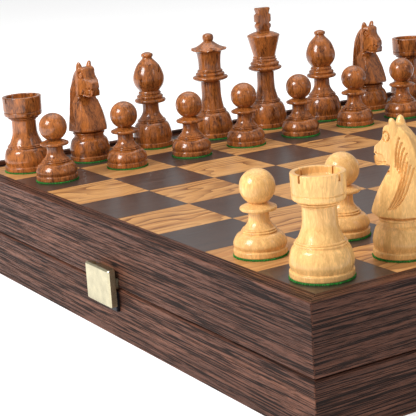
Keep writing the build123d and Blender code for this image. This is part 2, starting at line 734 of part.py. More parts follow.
def make_knight():
    """The turned foot and the carved head, which faces +X."""
    height, radius, h = sizes(knight_size)
    seat = 31.0 * h
    saddle = 3.6 * h  # half the gap between the ears
    chest_cut = 32.0 * h  # length of the facets on both sides of the chest
    chest_lean = 0.34  # how far the facets lean back as they rise
    lock_depth = 8.2 * h  # how near the middle plane the rear mane cuts reach
    with BuildPart() as turned_foot:
        with BuildSketch(Plane.XZ):
            with BuildLine():
                at = foot(radius)
                at = bulb(at, radius, (15.2 * h, 24.0 * h))
                at = cove(at, (14.6 * h, 27.0 * h), 0.1)
                at = bead(at, 1.4 * h, 2.6 * h)
                at = run(at, (13.4 * h, seat))
                close_profile(at)
            make_face()
        revolve(axis=Axis.Z)
    with BuildPart() as head:
        with BuildSketch(Plane.XZ):
            with BuildLine():
                Line((-17.2 * h, seat), (18.0 * h, seat))
                Spline((18.0 * h, seat), (18.2 * h, 34 * h), (13.0 * h, 48 * h), (6.6 * h, 60 * h), (3.6 * h, 67 * h))
                Spline((3.6 * h, 67 * h), (10.0 * h, 66.4 * h), (17.6 * h, 64.8 * h))
                Spline((17.6 * h, 64.8 * h), (21.4 * h, 68.0 * h), (22.4 * h, 73.6 * h), (19.6 * h, 78.4 * h))
                Spline((19.6 * h, 78.4 * h), (13.6 * h, 85.0 * h), (10.6 * h, 92.6 * h))
                Polyline((10.6 * h, 92.6 * h), (7.4 * h, 93.6 * h), (6.0 * h, 100 * h), (1.0 * h, 95.0 * h))
                Spline((1.0 * h, 95.0 * h), (-6.4 * h, 90.6 * h), (-13.0 * h, 76.0 * h), (-14.8 * h, 55 * h))
                Spline((-14.8 * h, 55 * h), (-15.2 * h, 42 * h), (-17.6 * h, 34 * h), (-17.2 * h, seat))
            make_face()
        extrude(amount=20 * h, both=True)
        with BuildSketch(Plane.YZ.offset(-40 * h)):
            with BuildLine():
                Line((0, seat), (15.0 * h, seat))
                Spline((15.0 * h, seat), (12.6 * h, 44 * h), (10.2 * h, 62 * h), (9.0 * h, 78 * h), (8.4 * h, 100 * h))
                Line((8.4 * h, 100 * h), (0, 100 * h))
                Line((0, 100 * h), (0, seat))
            make_face()
            mirror(about=Plane.YZ)
        extrude(amount=80 * h, mode=Mode.INTERSECT)
        with BuildSketch(Plane.XY.offset(seat)):
            Circle(17.2 * h)
        extrude(amount=120 * h, taper=-14, mode=Mode.INTERSECT)
        for side in (-1, 1):
            chest = Plane(origin=(12.4 * h, side * 11.2 * h, seat), x_dir=(-side, 1, 0), z_dir=(1, side, chest_lean))
            with BuildSketch(chest):
                Rectangle(60 * h, 2 * chest_cut, align=(Align.CENTER, Align.CENTER))
            extrude(amount=20 * h, mode=Mode.SUBTRACT)
        with BuildSketch(Plane.YZ.offset(-40 * h)):
            with Locations((0, 100 * h)):
                Polygon(
                    (-saddle - 1.4 * h, 1 * h),
                    (saddle + 1.4 * h, 1 * h),
                    (saddle, -5.4 * h),
                    (-saddle, -5.4 * h),
                    align=None,
                )
        extrude(amount=80 * h, mode=Mode.SUBTRACT)
        for side in (-1, 1):
            with BuildSketch(Plane.XZ.offset(side * 6.6 * h)):
                with Locations((12.0 * h, 84.0 * h)):
                    Circle(1.5 * h)
                with Locations((18.8 * h, 70.6 * h)):
                    Circle(1.1 * h)
                with Locations(Location((17.6 * h, 67.6 * h), 8)):
                    Rectangle(8 * h, 0.8 * h)
            extrude(amount=side * 4 * h, mode=Mode.SUBTRACT)
            for lock in range(4):
                with BuildSketch(Plane.XZ.offset(side * (lock_depth - 0.4 * lock * h))):
                    with Locations(Location((-9.4 * h + 2.6 * h * lock, 66 * h + 3 * h * lock), -78 + 4 * lock)):
                        Rectangle(34 * h, 0.8 * h)
                extrude(amount=side * 8 * h, mode=Mode.SUBTRACT)
    return [turned_foot.part, head.part]


# ---- the men on their squares -------------------------------------------------------------------------------
makers = {
    "king": (make_king, king_size),
    "queen": (make_queen, queen_size),
    "bishop": (make_bishop, bishop_size),
    "knight": (make_knight, knight_size),
    "rook": (make_rook, rook_size),
    "pawn": (make_pawn, pawn_size),
}
back_rank = ("rook", "knight", "bishop", "queen", "king", "bishop", "knight", "rook")
files = "abcdefgh"
armies = {"light": (1, 2, 180), "dark": (8, 7, 0)}  # back rank, pawn rank and the way the men face

# how far a man stands off the middle of its square, along the files and along the ranks
strays = {
    "light_rook_a1": (-5.0, -4.0),
    "light_knight_b1": (-3.0, -2.5),
    "light_pawn_a2": (-5.0, 0.0),
    "light_pawn_b2": (-1.0, -1.0),
    "dark_rook_a8": (-3.5, 0.5),
    "dark_knight_b8": (-5.0, -3.0),
    "dark_bishop_c8": (1.0, 3.0),
    "dark_queen_d8": (2.0, -1.5),
    "dark_king_e8": (3.0, -1.0),
    "dark_bishop_f8": (2.5, -7.0),
    "dark_knight_g8": (4.0, -2.5),
    "dark_pawn_a7": (-3.0, 3.0),
    "dark_pawn_b7": (2.0, 4.0),
    "dark_pawn_c7": (4.0, 2.0),
    "dark_pawn_d7": (1.5, 2.0),
    "dark_pawn_e7": (1.0, 1.5),
    "dark_pawn_f7": (2.5, 0.5),
}

# how far a man is turned from the way its army faces
turns = {"light_knight_b1": 23.0}

shapes = {}
for kind, (maker, size) in makers.items():
    pieces = maker()
    shapes[kind] = [felt_disc(size[1] * square)] + pieces


def place_man(army, kind, file, rank, facing):
    """Stands one man in the middle of its square and writes it."""
    name = f"{army}_{kind}_{files[file - 1]}{rank}"
    x, y = square_centre(file, rank)
    along_files, along_ranks = strays.get(name, (0.0, 0.0))
    place = Location((x - along_ranks, y + along_files, board_top), (0, 0, facing + turns.get(name, 0.0)))
    group(name, [piece.solid().moved(place) for piece in shapes[kind]])


for army, (home, front, facing) in armies.items():
    for file, kind in enumerate(back_rank, start=1):
        place_man(army, kind, file, home, facing)
        place_man(army, "pawn", file, front, facing)
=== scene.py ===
"""The looks of a chess box: its veneered board, open-pored case, latch, hinges, thirty-two men and studio."""

import math

import bpy
import numpy as np
from bpy.props import FloatProperty, FloatVectorProperty, IntProperty, PointerProperty
from mathutils import Matrix, Vector


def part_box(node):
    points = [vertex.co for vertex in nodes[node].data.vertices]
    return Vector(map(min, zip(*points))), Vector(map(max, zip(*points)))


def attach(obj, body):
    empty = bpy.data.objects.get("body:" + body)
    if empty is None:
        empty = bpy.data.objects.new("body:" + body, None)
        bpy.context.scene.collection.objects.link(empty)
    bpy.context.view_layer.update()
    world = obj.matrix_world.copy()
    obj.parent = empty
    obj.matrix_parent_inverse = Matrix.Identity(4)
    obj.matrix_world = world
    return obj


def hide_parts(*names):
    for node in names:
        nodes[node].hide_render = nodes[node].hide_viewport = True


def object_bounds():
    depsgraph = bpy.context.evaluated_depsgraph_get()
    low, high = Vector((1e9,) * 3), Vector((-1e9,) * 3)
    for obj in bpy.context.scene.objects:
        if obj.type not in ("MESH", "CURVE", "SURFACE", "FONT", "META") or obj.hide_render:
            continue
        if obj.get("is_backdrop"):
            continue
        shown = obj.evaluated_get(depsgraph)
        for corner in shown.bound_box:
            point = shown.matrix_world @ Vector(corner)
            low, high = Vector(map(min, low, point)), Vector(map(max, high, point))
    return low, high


bl_info = {
    "name": "Chess box",
    "version": (1, 0, 0),
    "blender": (4, 5, 0),
    "location": "View3D > Sidebar > Chess box",
    "description": "Dresses a packed chess box and its men",
    "category": "Object",
}

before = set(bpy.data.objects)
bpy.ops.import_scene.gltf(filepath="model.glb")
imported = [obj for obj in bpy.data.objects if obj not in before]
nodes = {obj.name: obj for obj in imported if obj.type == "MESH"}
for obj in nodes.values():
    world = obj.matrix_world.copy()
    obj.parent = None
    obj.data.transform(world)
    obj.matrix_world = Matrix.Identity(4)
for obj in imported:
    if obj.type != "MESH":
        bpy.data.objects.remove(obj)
MM = 0.001
# Each army's wood, the degrees that its men face and the strength of the flecks in its wood.
ARMIES = {"light": ("boxwood", 180, 0.12), "dark": ("acacia", 0, 0.50)}
# The degrees that a man is turned from the way that its army faces.
TURNS = {"light_knight_b1": 23, "dark_knight_b8": 12, "dark_knight_g8": 12}
SHARP = math.radians(40)  # an edge of a man that bends more than this stays sharp
FULL = 2 * math.pi  # a full turn
MADE = {}  # what has been made already, by name


def once(name, make, *words):
    """What make gives for the words, made at the name's first use and kept."""
    if name not in MADE:
        MADE[name] = make(*words)
    return MADE[name]


def length(name, description, millimetres):
    """A size that the user may change, given in millimetres and kept in metres."""
    return FloatProperty(name=name, description=description, default=millimetres * MM, unit="LENGTH")


def colour(name, description, *linear):
    """A colour that the user may change, given by its linear red, green and blue."""
    return FloatVectorProperty(name=name, description=description, default=linear, subtype="COLOR", min=0, max=1)


def measured_square():
    """The side of one square of the board, an eighth of the field that the squares fill."""
    low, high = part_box("dark_squares")
    return (high.y - low.y) / 8


class ChessBoxSizes(bpy.types.PropertyGroup):
    square: FloatProperty(
        name="Square", description="Side of one square of the board", default=measured_square(), unit="LENGTH"
    )
    steps_round: IntProperty(name="Steps round", description="Points round a turned man", default=64, min=24)
    profile_step: length("Profile step", "Spacing of points on the straight runs of a turned outline", 0.55)
    softness: length("Softness", "How far the turned edges are sanded round", 0.20)
    felt: length("Felt", "Thickness of the felt under a man", 0.9)
    rim: length("Foot rim", "Height of the plain rim over the felt", 3.0)
    carving: FloatProperty(
        name="Carving", description="Voxel of a carved head, in % of its height", default=0.42, subtype="PERCENTAGE"
    )


class ChessBoxColours(bpy.types.PropertyGroup):
    wenge_pore: colour("Case pores", "Open pores of the case wood", 0.0045, 0.0018, 0.0012)
    wenge_deep: colour("Case wood, deep", "Deepest brown of the case wood", 0.050, 0.0165, 0.0085)
    wenge_body: colour("Case wood", "Body of the case wood", 0.097, 0.0335, 0.0177)
    wenge_pale: colour("Case streaks", "Paler streaks of the case wood", 0.182, 0.070, 0.039)
    dark_body: colour("Dark squares", "Body of the dark veneer", 0.062, 0.035, 0.026)
    dark_deep: colour("Dark squares, grain", "Darkest grain of the dark veneer", 0.014, 0.008, 0.007)
    light_body: colour("Light squares", "Body of the light veneer", 0.530, 0.230, 0.067)
    light_pale: colour("Light squares, pale", "Palest bands of the light veneer", 0.740, 0.410, 0.155)
    light_deep: colour("Light squares, figure", "Dark figure of the light veneer", 0.140, 0.043, 0.011)
    boxwood: colour("Light men", "Body of the light men", 0.720, 0.415, 0.150)
    boxwood_deep: colour("Light men, grain", "Grain of the light men", 0.630, 0.335, 0.110)
    acacia: colour("Dark men", "Body of the dark men", 0.315, 0.098, 0.020)
    acacia_deep: colour("Dark men, grain", "Grain of the dark men", 0.085, 0.022, 0.005)
    man_felt: colour("Men's felt", "Felt under the men", 0.010, 0.185, 0.008)
    lining_felt: colour("Lining felt", "Felt in the base of the case", 0.006, 0.060, 0.020)
    latch_brass: colour("Latch", "Satin brass of the latch", 0.600, 0.540, 0.360)
    hinge_brass: colour("Hinges", "Brass of the hinges and screws", 0.690, 0.520, 0.270)
    pin_steel: colour("Latch pin", "Steel of the latch pin", 0.550, 0.550, 0.560)
    # The black on the magnet block is painted shadow: it stands for the latch flap's shadow on the wall below it.
    # The strike plate's black is its own.
    strike_black: colour("Strike plate", "Blackened strike plate and magnet", 0.010, 0.011, 0.016)


def sizes():
    """The sizes as the user has set them."""
    return bpy.context.scene.chess_box_sizes


def shade(name):
    """A colour as the user has set it."""
    return tuple(getattr(bpy.context.scene.chess_box_colours, name))


# ---- a short way to write materials -------------------------------------------------------------------------
class Finish:
    """A material and the short calls that build its nodes."""

    def __init__(self, name, **shader):
        self.material = bpy.data.materials.new(name)
        self.material.use_nodes = True
        self.tree = self.material.node_tree
        self.shader = self.tree.nodes["Principled BSDF"]
        for socket, value in shader.items():
            self.give(self.shader.inputs[socket.replace("_", " ").title().replace("Ior", "IOR")], value)

    def give(self, socket, value):
        """Links an output to the socket, or sets a number or a colour on it."""
        if isinstance(value, bpy.types.NodeSocket):
            self.tree.links.new(value, socket)
        elif isinstance(value, tuple) and socket.type == "RGBA":
            socket.default_value = (*value, 1.0)
        else:
            socket.default_value = value

    def node(self, kind, inputs, output=0, **settings):
        """Adds a node with its settings and inputs, and gives one of its outputs."""
        made = self.tree.nodes.new("ShaderNode" + kind)
        for name, value in settings.items():
            setattr(made, name, value)
        for name, value in inputs.items():
            self.give(made.inputs[name], value)
        return made.outputs[output]

    def place(self):
        """The place on the piece, in metres."""
        return self.node("TexCoord", {}, "Object")

    def split(self, vector):
        """The three parts of a vector."""
        self.node("SeparateXYZ", {0: vector})
        return self.tree.nodes[-1].outputs

    def join(self, x, y, z):
        """A vector of three parts."""
        return self.node("CombineXYZ", {0: x, 1: y, 2: z})

    def math(self, operation, a, b=0.0):
        """One calculation with two values."""
        return self.node("Math", {0: a, 1: b}, operation=operation)

    def noise(self, vector, scale=1.0, detail=3.0, roughness=0.55, distortion=0.0):
        """Soft noise, mostly between a third and two thirds."""
        words = {"Vector": vector, "Scale": scale, "Detail": detail, "Roughness": roughness}
        return self.node("TexNoise", {**words, "Distortion": distortion}, "Fac")

    def stretched(self, vector, along, across, shift=0.0):
        """The place with x times along and the rest times across, so that noise runs in long streaks."""
        scale, move = (along, across, across), (shift, shift, shift)
        return self.node("Mapping", {"Vector": vector, "Scale": scale, "Location": move})

    def span(self, value, low, high, to_low=0.0, to_high=1.0):
        """The value's way from low to high, as a number from to_low to to_high that stops at both."""
        ends = {"From Min": low, "From Max": high, "To Min": to_low, "To Max": to_high}
        return self.node("MapRange", {"Value": value, **ends})

    def ramp(self, value, *stops):
        """Colours by value: each stop is a place from 0 to 1 and its colour."""
        self.node("ValToRGB", {"Fac": value})
        made = self.tree.nodes[-1]
        elements = made.color_ramp.elements
        for _ in stops[2:]:
            elements.new(0.5)
        for element, (at, tint) in zip(elements, stops):
            element.position = at
            element.color = (*tint, 1.0)
        return made.outputs["Color"]

    def mix(self, share, a, b):
        """Colour a, with the share of colour b."""
        return self.node("Mix", {0: share, 6: a, 7: b}, 2, data_type="RGBA")

    def paint(self, base, roughness):
        """Sets the surface's colour and roughness."""
        self.give(self.shader.inputs["Base Color"], base)
        self.give(self.shader.inputs["Roughness"], roughness)

    def bump(self, height, distance, strength=1.0):
        """Presses the height, from 0 to 1 over the distance, into the surface's shading."""
        words = {"Height": height, "Distance": distance, "Strength": strength}
        self.give(self.shader.inputs["Normal"], self.node("Bump", words))


def along_walls(finish):
    """The place with x along the grain: along Y on the left and right sides of the case, else along X."""
    x, y, z = finish.split(finish.place())
    flanks = finish.math("GREATER_THAN", finish.math("ABSOLUTE", x), finish.math("ABSOLUTE", y))
    elsewhere = finish.math("ADD", x, 3.0)  # so that two walls don't meet in the same pattern
    inputs = {0: flanks, 4: finish.join(x, y, z), 5: finish.join(y, elsewhere, z)}
    return finish.node("Mix", inputs, 1, data_type="VECTOR")


def along_y(finish):
    """The place with x along the grain, which runs along Y."""
    x, y, z = finish.split(finish.place())
    return finish.join(y, x, z)


def wenge(name, sheen=0.44, pore_depth=0.45 * MM, grain=along_walls):
    """Dark open-pored wood: a brown body with paler streaks, long black pores and finer ones between them.

    A streak or a pore is noise drawn out along the grain. A vein is where its noise comes close to a half.
    """
    finish = Finish(name, specular_ior_level=0.19)
    place = grain(finish)
    drift = finish.noise(finish.stretched(place, 3.0, 34.0), detail=3.0, distortion=0.3)
    bands = finish.noise(finish.stretched(place, 4.0, 420.0, 0.7), detail=4.0, roughness=0.65, distortion=0.1)
    tone = finish.math("ADD", finish.math("MULTIPLY", bands, 0.6), finish.math("MULTIPLY", drift, 0.4))
    body = finish.ramp(tone, (0.34, shade("wenge_deep")), (0.50, shade("wenge_body")), (0.66, shade("wenge_pale")))
    level = finish.noise(finish.stretched(place, 4.0, 300.0, 2.1), detail=3.0, roughness=0.6, distortion=0.1)
    veins = finish.span(finish.math("ABSOLUTE", finish.math("SUBTRACT", level, 0.5)), 0.008, 0.034, 1.0, 0.0)
    dashes = finish.noise(finish.stretched(place, 22.0, 1250.0, 2.1), detail=3.0, roughness=0.6)
    hairs = finish.noise(finish.stretched(place, 130.0, 3200.0, 5.3), detail=2.0, roughness=0.6)
    pores = finish.span(dashes, 0.54, 0.57)
    lines = finish.math("MAXIMUM", finish.math("MULTIPLY", veins, 0.95), finish.math("MULTIPLY", pores, 0.9))
    cuts = finish.math("MAXIMUM", lines, finish.span(hairs, 0.53, 0.68, 0.0, 0.6))
    finish.paint(finish.mix(cuts, body, shade("wenge_pore")), finish.span(cuts, 0.0, 1.0, sheen, 0.75))
    finish.bump(finish.math("SUBTRACT", 1.0, cuts), pore_depth, 0.8)
    return finish.material


def each_square(finish):
    """A chance number for each square of the board, and the place with x along its grain, moved by that number."""
    x, y, z = finish.split(finish.place())
    side = sizes().square
    row = finish.math("FLOOR", finish.math("DIVIDE", x, side))
    column = finish.math("FLOOR", finish.math("DIVIDE", y, side))
    chance = finish.node("TexWhiteNoise", {"Vector": finish.join(row, column, 0.0)}, 0, noise_dimensions="2D")
    shift = finish.math("MULTIPLY", chance, 3.7)
    return chance, finish.join(finish.math("ADD", y, shift), finish.math("ADD", x, shift), z)


def dark_veneer():
    """Dark veneer under satin lacquer: soft bands along the grain and fine closed pores."""
    finish = Finish("dark_veneer", coat_weight=0.45, coat_roughness=0.22)
    chance, place = each_square(finish)
    bands = finish.noise(finish.stretched(place, 9.0, 260.0), detail=5.0, roughness=0.6, distortion=0.4)
    body = finish.ramp(bands, (0.30, shade("dark_deep")), (0.66, shade("dark_body")))
    tint = finish.mix(finish.span(chance, 0.0, 1.0, 0.0, 0.4), body, shade("dark_body"))
    pores = finish.span(finish.noise(finish.stretched(place, 80.0, 1900.0, 3.0), detail=2.0), 0.55, 0.68, 0.0, 0.6)
    finish.paint(finish.mix(pores, tint, shade("dark_deep")), finish.span(bands, 0.3, 0.7, 0.36, 0.48))
    finish.bump(finish.math("SUBTRACT", 1.0, pores), 0.05 * MM, 0.6)
    return finish.material


def light_veneer():
    """Golden veneer cut across wavy growth rings: each ring darkens to its edge, with fine bands and flecks."""
    finish = Finish("light_veneer", specular_ior_level=0.25, coat_weight=0.14, coat_roughness=0.22)
    chance, place = each_square(finish)
    drift = finish.noise(finish.stretched(place, 9.0, 24.0), detail=2.5, roughness=0.5, distortion=0.4)
    across = finish.split(place)[1]
    rings = finish.math("ADD", finish.math("MULTIPLY", across, 130.0), finish.math("MULTIPLY", drift, 12.0))
    edge = finish.math("POWER", finish.math("FRACT", rings), 2.4)
    bands = finish.noise(finish.stretched(place, 12.0, 420.0, 1.3), detail=4.0, roughness=0.6, distortion=0.3)
    body = finish.ramp(bands, (0.30, shade("light_body")), (0.72, shade("light_pale")))
    figure = finish.math("MULTIPLY", edge, finish.span(drift, 0.38, 0.62, 0.25, 1.0))
    figured = finish.mix(figure, body, shade("light_deep"))
    toned = finish.mix(finish.span(chance, 0.0, 1.0, 0.0, 0.28), figured, shade("light_deep"))
    flecks = finish.noise(finish.stretched(place, 120.0, 2400.0, 4.0), detail=2.0)
    cuts = finish.span(flecks, 0.56, 0.72, 0.0, 0.5)
    finish.paint(finish.mix(cuts, toned, shade("light_deep")), finish.span(bands, 0.3, 0.7, 0.38, 0.48))
    finish.bump(finish.math("SUBTRACT", 1.0, cuts), 0.05 * MM, 0.6)
    return finish.material


def man_wood(name, flecks):
    """Polished wood with the grain up the man: soft clouds, fine growth lines and flecks of the strength given."""
    finish = Finish(name, specular_ior_level=0.12, coat_weight=0.35 + flecks, coat_roughness=0.13)
    body, deep = shade(name), shade(name + "_deep")
    x, y, z = finish.split(finish.place())
    upright = finish.join(x, y, finish.math("MULTIPLY", z, 0.22))
    clouds = finish.noise(upright, 150.0, 3.0, 0.55, 0.6)
    lines = finish.noise(upright, 900.0, 4.0, 0.66, 0.8)
    tone = finish.math("ADD", finish.math("MULTIPLY", clouds, 0.4), finish.math("MULTIPLY", lines, 0.6))
    pale = tuple(min(1.0, (1.25 + flecks) * value) for value in body)
    wood = finish.ramp(tone, (0.38, deep), (0.50, body), (0.64, pale))
    cuts = finish.span(finish.noise(upright, 2600.0, 2.0, 0.6), 0.58, 0.74, 0.0, flecks)
    finish.paint(finish.mix(cuts, wood, deep), finish.span(lines, 0.3, 0.7, 0.30, 0.42))
    finish.bump(lines, 0.06 * MM, 0.35)
    return finish.material


def napped_felt(name):
    """Felt: a mottled nap with a matt sheen."""
    finish = Finish(name, sheen_weight=0.25)
    nap = finish.noise(finish.place(), 1500.0, 3.0, 0.7)
    clouds = finish.noise(finish.place(), 160.0, 2.0)
    tone = finish.math("ADD", finish.math("MULTIPLY", nap, 0.7), finish.math("MULTIPLY", clouds, 0.3))
    shadow = tuple(0.35 * value for value in shade(name))
    tips = tuple(1.6 * value for value in shade(name))
    finish.paint(finish.ramp(tone, (0.32, shadow), (0.66, tips)), 0.95)
    finish.bump(nap, 0.4 * MM, 0.9)
    return finish.material


def satin_metal(name, roughness, metallic=1.0, brushed=0.0):
    """Metal with a fine grit, drawn out along X when brushed, and faint tarnish."""
    finish = Finish(name, metallic=metallic)
    x, y, z = finish.split(finish.place())
    grit = finish.noise(finish.join(finish.math("MULTIPLY", x, 1.0 - brushed), y, z), 3200.0, 2.0, 0.6)
    tarnish = finish.span(finish.noise(finish.place(), 120.0, 3.0, 0.6), 0.35, 0.70)
    dull = tuple(0.74 * value for value in shade(name))
    rough = finish.span(grit, 0.3, 0.7, roughness - 0.06, roughness + 0.10)
    finish.paint(finish.mix(tarnish, shade(name), dull), rough)
    finish.bump(grit, 0.04 * MM, 0.5)
    return finish.material


def dress(material, *names):
    """Gives CAD nodes a material."""
    for name in names:
        mesh = nodes[name].data
        mesh.materials.clear()
        mesh.materials.append(material)


# ---- surfaces -----------------------------------------------------------------------------------------------
def round_about(steps):
    """Angles at even steps round a full turn."""
    return np.linspace(0, FULL, steps, endpoint=False)


def through(points, steps=12):
    """A smooth line through the points: in each span a cubic, whose ends run parallel to the neighbours' chord."""
    held = np.array(points, float)
    held = np.vstack([2 * held[0] - held[1], held, 2 * held[-1] - held[-2]])
    a, b, c, d = held[:-3, None], held[1:-2, None], held[2:-1, None], held[3:, None]
    t = np.linspace(0, 1, steps, endpoint=False)[None, :, None]
    bend = (2 * a - 5 * b + 4 * c - d) * t**2 + (3 * b - a - 3 * c + d) * t**3
    line = b + 0.5 * ((c - a) * t + bend)
    return np.vstack([line.reshape(-1, held.shape[1]), held[-2]])


def closed_shell(grid):
    """A grid of rings as a shell, closed round each ring and by a fan at the first and the last.

    A shell is its points, the corners of all its faces in one row, and how many corners each face has.
    """
    rings, steps = grid.shape[:2]
    poles = np.stack([grid[0].mean(0), grid[-1].mean(0)])
    points = np.vstack([grid.reshape(-1, 3), poles])
    here, row = np.arange(steps), np.arange(rings - 1)[:, None] * steps
    after = (here + 1) % steps
    walls = np.stack([row + here, row + after, row + steps + after, row + steps + here], 2).reshape(-1, 4)
    low, high = np.full(steps, rings * steps), np.full(steps, rings * steps + 1)
    last = (rings - 1) * steps
    ends = np.vstack([np.stack([low, after, here], 1), np.stack([high, last + here, last + after], 1)])
    return points, np.r_[walls.ravel(), ends.ravel()], np.repeat([4, 3], [len(walls), len(ends)])


def several(*shells):
    """Several shells as one: the corners of each count on from the points of those before it."""
    points, corners, counts = zip(*shells)
    starts = np.cumsum([0, *map(len, points[:-1])])
    moved = [row + start for row, start in zip(corners, starts)]
    return np.vstack(points), np.concatenate(moved), np.concatenate(counts)


def put_mesh(name, shell, *materials):
    """A new smooth-shaded object at the origin, made of a shell."""
    points, corners, counts = shell
    mesh = bpy.data.meshes.new(name)
    mesh.vertices.add(len(points))
    mesh.vertices.foreach_set("co", points.astype(np.float32).ravel())
    mesh.loops.add(len(corners))
    mesh.loops.foreach_set("vertex_index", corners.astype(np.int32))
    mesh.polygons.add(len(counts))
    mesh.polygons.foreach_set("loop_start", (np.cumsum(counts) - counts).astype(np.int32))
    mesh.polygons.foreach_set("use_smooth", np.ones(len(counts), bool))
    mesh.update(calc_edges=True)
    for material in materials:
        mesh.materials.append(material)
    made = bpy.data.objects.new(name, mesh)
    bpy.context.scene.collection.objects.link(made)
    return made


def settle(made):
    """Works an object's modifiers into its mesh."""
    graph = bpy.context.evaluated_depsgraph_get()
    mesh = bpy.data.meshes.new_from_object(made.evaluated_get(graph))
    made.modifiers.clear()
    made.data = mesh
    return mesh


def points_of(mesh):
    """The places of a mesh's vertices as an array."""
    flat = np.empty(3 * len(mesh.vertices), np.float32)
    mesh.vertices.foreach_get("co", flat)
    return flat.reshape(-1, 3).astype(float)


# ---- turned men ---------------------------------------------------------------------------------------------
class Turning:
    """The outline of a turned man, drawn upwards as (radius, height) points from its felt."""

    def __init__(self, radius):
        """Draws the plain rim over the felt, with its two edges eased."""
        ease, low, high = 0.35 * MM, sizes().felt, sizes().felt + sizes().rim
        rim = [(radius - ease, low), (radius, low + ease), (radius, high - ease), (radius - ease, high)]
        self.line = np.array([(0.0, low), *rim, (radius - 0.9 * MM, high + 0.1 * MM)])

    def run(self, *points):
        """Straight on to each of the points."""
        self.line = np.vstack([self.line, points])

    def bead(self, out, thick):
        """A bead: the radius stands out by the cosine, and the height climbs by the sine, of half a turn."""
        (r, z), turn = self.line[-1], np.linspace(-math.pi / 2, math.pi / 2, 9)[1:]
        self.run(*np.stack([r + out * np.cos(turn), z + thick / 2 * (1 + np.sin(turn))], 1))

    def curve(self, *points):
        """A smooth line on through the points."""
        self.run(*through([self.line[-1], *points])[1:])

    def ball(self, radius, top):
        """A ball on the axis, from the height reached so far to its pole."""
        centre = top - radius
        start = math.asin((self.line[-1][1] - centre) / radius)
        turn = np.linspace(start, math.pi / 2, 40)
        self.run(*np.stack([radius * np.cos(turn), centre + radius * np.sin(turn)], 1))

    def dome(self, top):
        """A shallow dome: the part of a sphere that stands on the last point and touches top on the axis."""
        r, z = self.line[-1]
        sphere = (r**2 + (top - z) ** 2) / (2 * (top - z))
        reach = np.linspace(r, 0, 14)[1:]
        self.run(*np.stack([reach, top - sphere + np.sqrt(sphere**2 - reach**2)], 1))

    def lower_body(self, radius, ring, neck):
        """The full bulb over the foot, a double ring and the stem up to the point neck."""
        z = self.line[-1][1]
        end = (ring[0] - 0.5 * MM, ring[1] - 0.9 * MM)
        rise = end[1] - z
        shoulder = (radius - 0.42 * (radius - end[0]), z + 0.80 * rise)
        self.curve((radius - 0.1 * MM, z + 0.33 * rise), shoulder, end)
        self.bead(0.6 * MM, 0.9 * MM)
        self.run((ring[0] - 1.0 * MM, ring[1] + 0.1 * MM))
        self.bead(0.4 * MM, 0.8 * MM)
        r, z = self.line[-1] + (-0.5 * MM, 0.1 * MM)
        self.run((r, z))
        self.curve((neck[0] + (r - neck[0]) * 0.15, z + (neck[1] - z) * 0.4125), neck)

    def sanded(self):
        """The outline again: blurred by a bell curve along its length, with more points where it bends."""
        fine, soft, extra = 0.05 * MM, sizes().softness, 6.0  # extra: more points for each radian of a bend
        core = 0.12 * MM  # nearer the axis than this, the shell's fan closes the end
        steps = np.hypot(*np.diff(self.line, axis=0).T)
        line = self.line[np.r_[True, steps > 1e-9]]
        reached = np.r_[0, np.cumsum(np.hypot(*np.diff(line, axis=0).T))]
        marks = np.arange(0, reached[-1], fine)
        dense = np.stack([np.interp(marks, reached, line[:, i]) for i in (0, 1)], 1)
        width = int(3 * soft / fine)
        bell = np.exp(-0.5 * (np.arange(-width, width + 1) * fine / soft) ** 2)
        padded = np.pad(dense, ((width, width), (0, 0)), mode="reflect", reflect_type="odd")
        blurred = np.stack([np.convolve(padded[:, i], bell / bell.sum(), "valid") for i in (0, 1)], 1)
        heading = np.unwrap(np.arctan2(*np.gradient(blurred, axis=0).T))
        crowding = np.cumsum(fine / sizes().profile_step + extra * np.abs(np.gradient(heading)))
        picks = np.interp(np.arange(0, crowding[-1], 1.0), crowding, np.arange(len(blurred))).astype(int)
        kept = blurred[np.unique(picks)]
        return kept[kept[:, 0] > core]


def turned(outline, turns=None):
    """A grid of rings: each point of the outline carried round the upright axis by every angle of turns."""
    turns = round_about(sizes().steps_round) if turns is None else turns
    radius, height = outline[:, :1], outline[:, 1:]
    return np.stack([radius * np.cos(turns), radius * np.sin(turns), height + 0 * turns], 2)


def pawn(radius, h):
    """A collar under a ball. The men's sizes are in h, a hundredth of the man's height."""
    turning = Turning(radius)
    turning.lower_body(radius, (21 * h, 30 * h), (11.8 * h, 50.5 * h))
    turning.run((15.5 * h, 51.8 * h), (20.0 * h, 52.6 * h))
    turning.bead(1.3 * h, 4.2 * h)
    turning.run((15.0 * h, 59.0 * h), (10.2 * h, 60.9 * h))
    turning.ball(20.7 * h, 100 * h)
    return [closed_shell(turned(turning.sanded()))]


